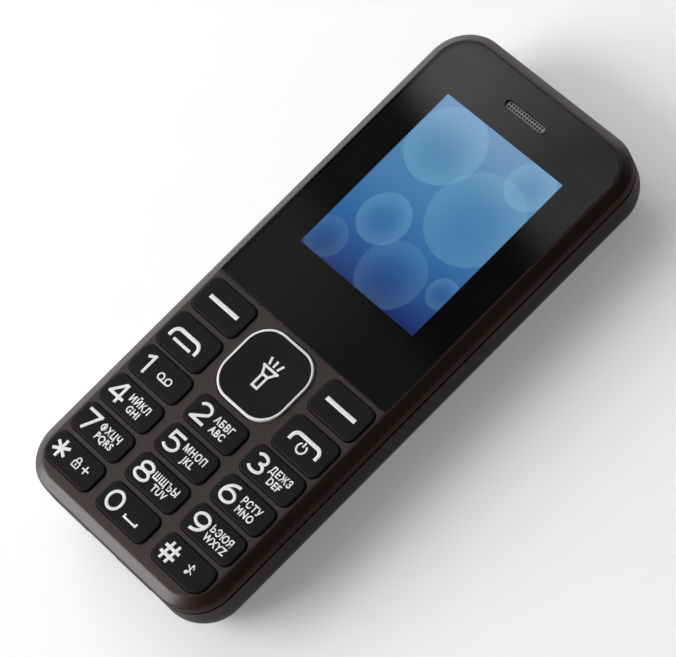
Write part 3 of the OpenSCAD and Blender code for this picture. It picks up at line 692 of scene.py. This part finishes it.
# %% Letters
LETTER_X = 1.5
LETTER_CAP = 1.32
LETTER_WEIGHT = 0.058
LETTER_LINES = (0.07, -1.66)
LETTERS = {
    "2": ("АБВГ", "ABC"),
    "3": ("ДЕЖЗ", "DEF"),
    "4": ("ИЙКЛ", "GHI"),
    "5": ("МНОП", "JKL"),
    "6": ("РСТУ", "MNO"),
    "7": ("ФХЦЧ", "PQRS"),
    "8": ("ШЩЪЫ", "TUV"),
    "9": ("ЬЭЮЯ", "WXYZ"),
}


def letter_lines(digit):
    lines = zip(LETTERS[digit], LETTER_LINES)
    return [moved(word(text, LETTER_CAP, LETTER_WEIGHT), LETTER_X, y) for text, y in lines]


for digit in LETTERS:
    print_on("key_" + digit, digit_sign(digit) + letter_lines(digit))
print("printed", len(LETTERS), "digits with letters")

# %% [markdown]
# ## Line signs
# The other signs are strokes too: the two loops of a message tape beside the one, a space mark beside
# the zero, the six arms of a star with a lock and a plus, a hash with a crossed-out note, dashes on the
# soft keys and a handset on the call and end keys.

# %% Signs of the one and zero keys
THIN = 0.3
SPACE_PEN = 0.36


def tape_sign():
    loops = [ring(x, -0.2, 0.6, THIN) for x in (0.45, 2.25)]
    return loops + [pen([(0.45, -0.8), (2.25, -0.8)], THIN)]


def space_sign():
    ends = [pen([(x, -0.45), (x, -1.0)], SPACE_PEN) for x in (0.1, 3.0)]
    return ends + [pen([(-0.08, -1.0), (3.18, -1.0)], SPACE_PEN)]


def face_counts(signs):
    return {sign.name: len(sign.data.polygons) for sign in signs}


one_print = print_on("key_1", digit_sign("1") + tape_sign())
zero_print = print_on("key_0", digit_sign("0") + space_sign())
print("faces of the signs:", face_counts([one_print, zero_print]))

# %% Signs of the star and hash keys
STAR_PEN = 0.6
LOCK_PEN = 0.25
NOTE_PEN = 0.24
SLASH_PEN = 0.2


def star_sign(x, y, reach):
    lines = []
    for turn in (90, 30, 150):
        dx = reach * math.cos(math.radians(turn))
        dy = reach * math.sin(math.radians(turn))
        lines.append(pen([(x - dx, y - dy), (x + dx, y + dy)], STAR_PEN))
    return lines


def lock_sign(x, y):
    body = [(x - 0.68, y), (x + 0.68, y), (x + 0.68, y - 1.0), (x - 0.68, y - 1.0)]
    shackle = [(x - 0.42, y)] + arc(x, y + 0.38, 0.42, 180, 0) + [(x + 0.42, y)]
    sides = [pen([a, b], LOCK_PEN) for a, b in zip(body, body[1:] + body[:1])]
    return sides + [pen(shackle, LOCK_PEN), pen([(x, y - 0.3), (x, y - 0.7)], LOCK_PEN)]


def plus_sign(x, y, reach):
    return [pen([(x - reach, y), (x + reach, y)], THIN), pen([(x, y - reach), (x, y + reach)], THIN)]


def hash_sign():
    bars = [pen([(-5.0, y), (-1.65, y)], BOLD) for y in (0.5, -0.75)]
    return bars + [pen([(x - 0.15, -1.9), (x + 0.15, 1.65)], BOLD) for x in (-4.0, -2.65)]


def note_sign(x, y):
    head = ring(x - 0.3, y - 0.75, 0.17, 0.34)
    flag = pen([(x, y + 0.95), (x + 0.5, y + 0.55), (x + 0.5, y + 0.2)], NOTE_PEN)
    slash = pen([(x - 0.8, y + 0.45), (x + 0.75, y - 0.6)], SLASH_PEN)
    return [head, pen([(x, y - 0.75), (x, y + 0.95)], NOTE_PEN), flag, slash]


star_shapes = star_sign(-3.3, 0.15, 1.7) + lock_sign(0.85, 0.3) + plus_sign(3.0, 0.15, 0.78)
star_print = print_on("key_star", star_shapes)
hash_print = print_on("key_hash", hash_sign() + note_sign(1.6, 0.1))
print("faces of the signs:", face_counts([star_print, hash_print]))

# %% Signs of the soft, call and end keys
DASH_HALF = 3.5
DASH_PEN = 0.8
HANDSET_PEN = 0.72
CRADLE_PEN = 0.55
POWER_PEN = 0.35


def handset(x, top, foot, half, bend):
    """A handset seen from the side: a bar that turns down at both ends."""
    left = [(x - half, foot)] + arc(x - half + bend, top - bend, bend, 180, 90, 8)
    right = arc(x + half - bend, top - bend, bend, 90, 0, 8) + [(x + half, foot)]
    return pen(left + right, HANDSET_PEN)


def cradle_sign():
    return pen([(-2.7, -1.2), (1.5, -1.2)], CRADLE_PEN)


def power_sign():
    circle = pen(arc(-0.1, -0.8, 0.93, 125, 415, 24), POWER_PEN)
    return [circle, pen([(-0.1, -0.55), (-0.1, 0.42)], POWER_PEN)]


for side in ("left", "right"):
    print_on("soft_key_" + side, [pen([(-DASH_HALF, 0.05), (DASH_HALF, 0.05)], DASH_PEN)])
print_on("call_key", [handset(-0.6, 0.72, -1.3, 3.15, 1.3), cradle_sign()])
print_on("end_key", [handset(0.0, 0.95, -0.9, 3.15, 1.1)] + power_sign())

# %% [markdown]
# ## Torch sign on the navigation key
# The navigation key is hollowed like a shallow bowl. Ink laid flat would hang above it, so the sign is
# cut into short pieces and every point is lowered to the bowl by the height formula of a sphere.

# %% Torch sign on the navigation key
BOWL_R = 6.39 * MM
BOWL_DEPTH = 0.22 * MM
TORCH_PEN = 0.46
HANDLE_HALF = 0.62
HANDLE_TOP = -0.1
HANDLE_FOOT = -2.6
RIM = 1.25


def torch_sign():
    """Three rays over a funnel head, and a long handle with square corners."""
    reach = HANDLE_HALF + TORCH_PEN / 2
    foot = HANDLE_FOOT - TORCH_PEN / 2
    rays = [[(1.45 * side, 3.05), (0.96 * side, 1.75)] for side in (-1, 0, 1)]
    rim = [(-1.85, RIM), (1.85, RIM)]
    funnel = [[(1.5 * side, RIM), (0.66 * side, HANDLE_TOP)] for side in (-1, 1)]
    cross = [[(-reach, y), (reach, y)] for y in (HANDLE_TOP, HANDLE_FOOT)]
    sides = [[(HANDLE_HALF * side, HANDLE_TOP), (HANDLE_HALF * side, foot)] for side in (-1, 1)]
    return [pen(line, TORCH_PEN) for line in rays + [rim] + funnel + cross + sides]


def print_in_bowl(key, shapes):
    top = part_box(key)[1].z
    centre = middle(key)
    ball = (BOWL_R ** 2 + BOWL_DEPTH ** 2) / (2 * BOWL_DEPTH)
    bm = ink_bmesh(shapes, centre, top - BOWL_DEPTH)
    bmesh.ops.subdivide_edges(bm, edges=bm.edges[:], cuts=2, use_grid_fill=True)
    for vert in bm.verts:
        across = (vert.co.xy - centre.xy).length
        vert.co.z += ball - math.sqrt(ball ** 2 - across ** 2)
    return add_piece("print_" + key, bm, white_ink, "nav_cap", "key_black")


print("torch sign faces:", len(print_in_bowl("nav_key", torch_sign()).data.polygons))

# %% [markdown]
# ## Floor and light
# The phone lies on a plain white sheet. Gloss shows what it mirrors, so the light is built for that: an
# overhead panel in bands gives the window its pale upper end and its black middle, two softboxes on the
# left brighten the chamfers there, and the sky is pale at the horizon and dark overhead and to the right.

# %% Floor
FLOOR_HALF = 3.0
FLOOR_DROP = 0.05 * MM
FLOOR_GLOW = 0.23


def white_sheet():
    """White paper that looks a little brighter than it lights the phone."""
    sheet = moulded("paper", (0.92, 0.92, 0.92), 0.9, 2 * MM, 0.002 * MM, 0.01)
    tree = sheet.node_tree
    seen = add_node(tree, "ShaderNodeLightPath").outputs
    mirrored = {0: seen["Is Glossy Ray"], 1: seen["Is Transmission Ray"]}
    indirect = add_node(tree, "ShaderNodeMath", mirrored, operation="MAXIMUM").outputs["Value"]
    direct = {0: seen["Is Camera Ray"], 1: indirect}
    either = add_node(tree, "ShaderNodeMath", direct, operation="MAXIMUM").outputs["Value"]
    glow = add_node(tree, "ShaderNodeMath", {0: either, 1: FLOOR_GLOW}, operation="MULTIPLY")
    set_inputs(tree, tree.nodes["Principled BSDF"], {
        "Emission Color": (1, 1, 1, 1),
        "Emission Strength": glow.outputs["Value"],
    })
    return sheet


def add_floor():
    bm = bmesh.new()
    bmesh.ops.create_grid(bm, x_segments=1, y_segments=1, size=FLOOR_HALF)
    bmesh.ops.translate(bm, verts=bm.verts[:], vec=(0, 0, cad_box[0].z - FLOOR_DROP))
    mesh = bpy.data.meshes.new("floor")
    bm.to_mesh(mesh)
    bm.free()
    mesh.materials.append(white_sheet())
    floor = show(bpy.data.objects.new("floor", mesh))
    return floor


floor = add_floor()
print("floor at z in mm:", round(floor.data.vertices[0].co.z / MM, 3))

# %% Sky
HORIZON = 2.0
ZENITH = 0.04
FAR_SIDE = 0.08
# Where the sky begins and ends to darken, upwards and to the right, as parts of a unit direction
UPWARDS = (0.08, 0.34)
RIGHTWARDS = (-0.2, 0.5)


def add_sky():
    world = bpy.data.worlds.new("sky")
    bpy.context.scene.world = world
    world.use_nodes = True
    tree = world.node_tree
    way = add_node(tree, "ShaderNodeTexCoord").outputs["Generated"]
    parts = add_node(tree, "ShaderNodeSeparateXYZ", {"Vector": way}).outputs
    height = add_node(tree, "ShaderNodeMapRange", {
        "Value": parts["Z"], "From Min": UPWARDS[0], "From Max": UPWARDS[1],
        "To Min": HORIZON, "To Max": ZENITH,
    }).outputs["Result"]
    side = add_node(tree, "ShaderNodeMapRange", {
        "Value": parts["X"], "From Min": RIGHTWARDS[0], "From Max": RIGHTWARDS[1],
        "To Min": 1.0, "To Max": FAR_SIDE,
    }).outputs["Result"]
    level = add_node(tree, "ShaderNodeMath", {0: height, 1: side}, operation="MULTIPLY").outputs["Value"]
    tree.links.new(level, tree.nodes["Background"].inputs["Strength"])
    tree.nodes["Background"].inputs["Color"].default_value = (1, 1, 1, 1)


add_sky()
print("sky:", HORIZON, "at the horizon,", ZENITH, "overhead")

# %% Bands of the overhead panel
PANEL_X = (-0.8, 0.1)
PANEL_Y = (-0.35, 0.85)
# The bands slope across the panel by PANEL_LEAN. Their places below hold where x is PANEL_LEAN_FROM
PANEL_LEAN = 0.165
PANEL_LEAN_FROM = -0.358
# The panel is at its full level left of the first place, and at this share of it right of the second
FADE_X = (-0.4, -0.31)
FADE_SHARE = 0.27
# Place along the panel and brightness there: the keypad mirrors the first stretch, the window the rest
BANDS = (
    (-0.35, 1.3),
    (0.025, 1.3),
    (0.05, 0.22),
    (0.098, 0.22),
    (0.108, 0.075),
    (0.152, 0.075),
    (0.166, 0.95),
    (0.85, 0.95),
)


def panel_finish():
    material, tree, shader = new_finish("overhead_panel")
    where = place_in(tree)
    slope = (PANEL_LEAN, 1.0, 0.0)
    lean = add_node(tree, "ShaderNodeVectorMath", {0: where, 1: slope}, operation="DOT_PRODUCT")
    along = add_node(tree, "ShaderNodeMapRange", {
        "Value": lean.outputs["Value"],
        "From Min": PANEL_Y[0] + PANEL_LEAN * PANEL_LEAN_FROM,
        "From Max": PANEL_Y[1] + PANEL_LEAN * PANEL_LEAN_FROM,
    }).outputs["Result"]
    ramp = add_node(tree, "ShaderNodeValToRGB", {"Fac": along})
    stops = ramp.color_ramp.elements
    while len(stops) < len(BANDS):
        stops.new(0.5)
    for stop, (place, level) in zip(stops, BANDS):
        stop.position = (place - PANEL_Y[0]) / (PANEL_Y[1] - PANEL_Y[0])
        stop.color = (level, level, level, 1.0)
    across = add_node(tree, "ShaderNodeSeparateXYZ", {"Vector": where}).outputs["X"]
    fade = add_node(tree, "ShaderNodeMapRange", {
        "Value": across, "From Min": FADE_X[0], "From Max": FADE_X[1],
        "To Min": 1.0, "To Max": FADE_SHARE,
    }).outputs["Result"]
    set_inputs(tree, shader, {
        "Base Color": (0.0, 0.0, 0.0, 1.0),
        "Specular IOR Level": 0.0,
        "Emission Color": ramp.outputs["Color"],
        "Emission Strength": fade,
    })
    return material


panel_light = panel_finish()
print(panel_light.name, "with", len(BANDS), "stops")

# %% Overhead panel
PANEL_Z = 0.6


def add_panel():
    bm = bmesh.new()
    bmesh.ops.create_grid(bm, x_segments=1, y_segments=1, size=0.5)
    span = Vector((PANEL_X[1] - PANEL_X[0], PANEL_Y[1] - PANEL_Y[0], 1))
    bmesh.ops.scale(bm, verts=bm.verts[:], vec=span)
    bmesh.ops.translate(bm, verts=bm.verts[:], vec=(sum(PANEL_X) / 2, sum(PANEL_Y) / 2, PANEL_Z))
    mesh = bpy.data.meshes.new("overhead_panel")
    bm.to_mesh(mesh)
    bm.free()
    mesh.materials.append(panel_light)
    panel = show(bpy.data.objects.new("overhead_panel", mesh))
    panel.visible_camera = False
    return panel


panel = add_panel()
print("corners of the panel:", [[round(v, 2) for v in vert.co] for vert in panel.data.vertices])

# %% Softboxes
# Name, direction from the phone, distance and side in metres, and radiance
SOFTBOXES = (
    ("low_softbox", (-0.50, -0.72, 0.48), 1.2, 0.9, 5.8),
    ("left_softbox", (-0.80, 0.20, 0.55), 1.2, 0.7, 5.3),
)
# From some sides the glossy window would mirror a softbox as one white sheet, so neither lights it
window_shade = bpy.data.collections.new("window_shade")
window_shade.objects.link(nodes["display_lens"])
window_shade.collection_objects[0].light_linking.link_state = "EXCLUDE"


def softbox(name, way, distance, side, radiance):
    """A square lamp in the direction way from the phone, turned towards it."""
    lamp = bpy.data.lights.new(name, "AREA")
    lamp.shape = "SQUARE"
    lamp.size = side
    lamp.energy = radiance * math.pi * side ** 2
    place = Vector(way).normalized() * distance
    holder = show(bpy.data.objects.new(name, lamp))
    turn = place.to_track_quat("Z", "Y").to_matrix().to_4x4()
    holder.matrix_world = Matrix.Translation(place) @ turn
    holder.visible_camera = False
    holder.light_linking.receiver_collection = window_shade
    return holder


lamps = [softbox(*box) for box in SOFTBOXES]
print("lamps:", [lamp.name for lamp in lamps])

# %% [markdown]
# ## View
# The picture is shown with the plain Standard view, so that a colour looks as it is written.

# %% View
bpy.context.scene.view_settings.view_transform = "Standard"
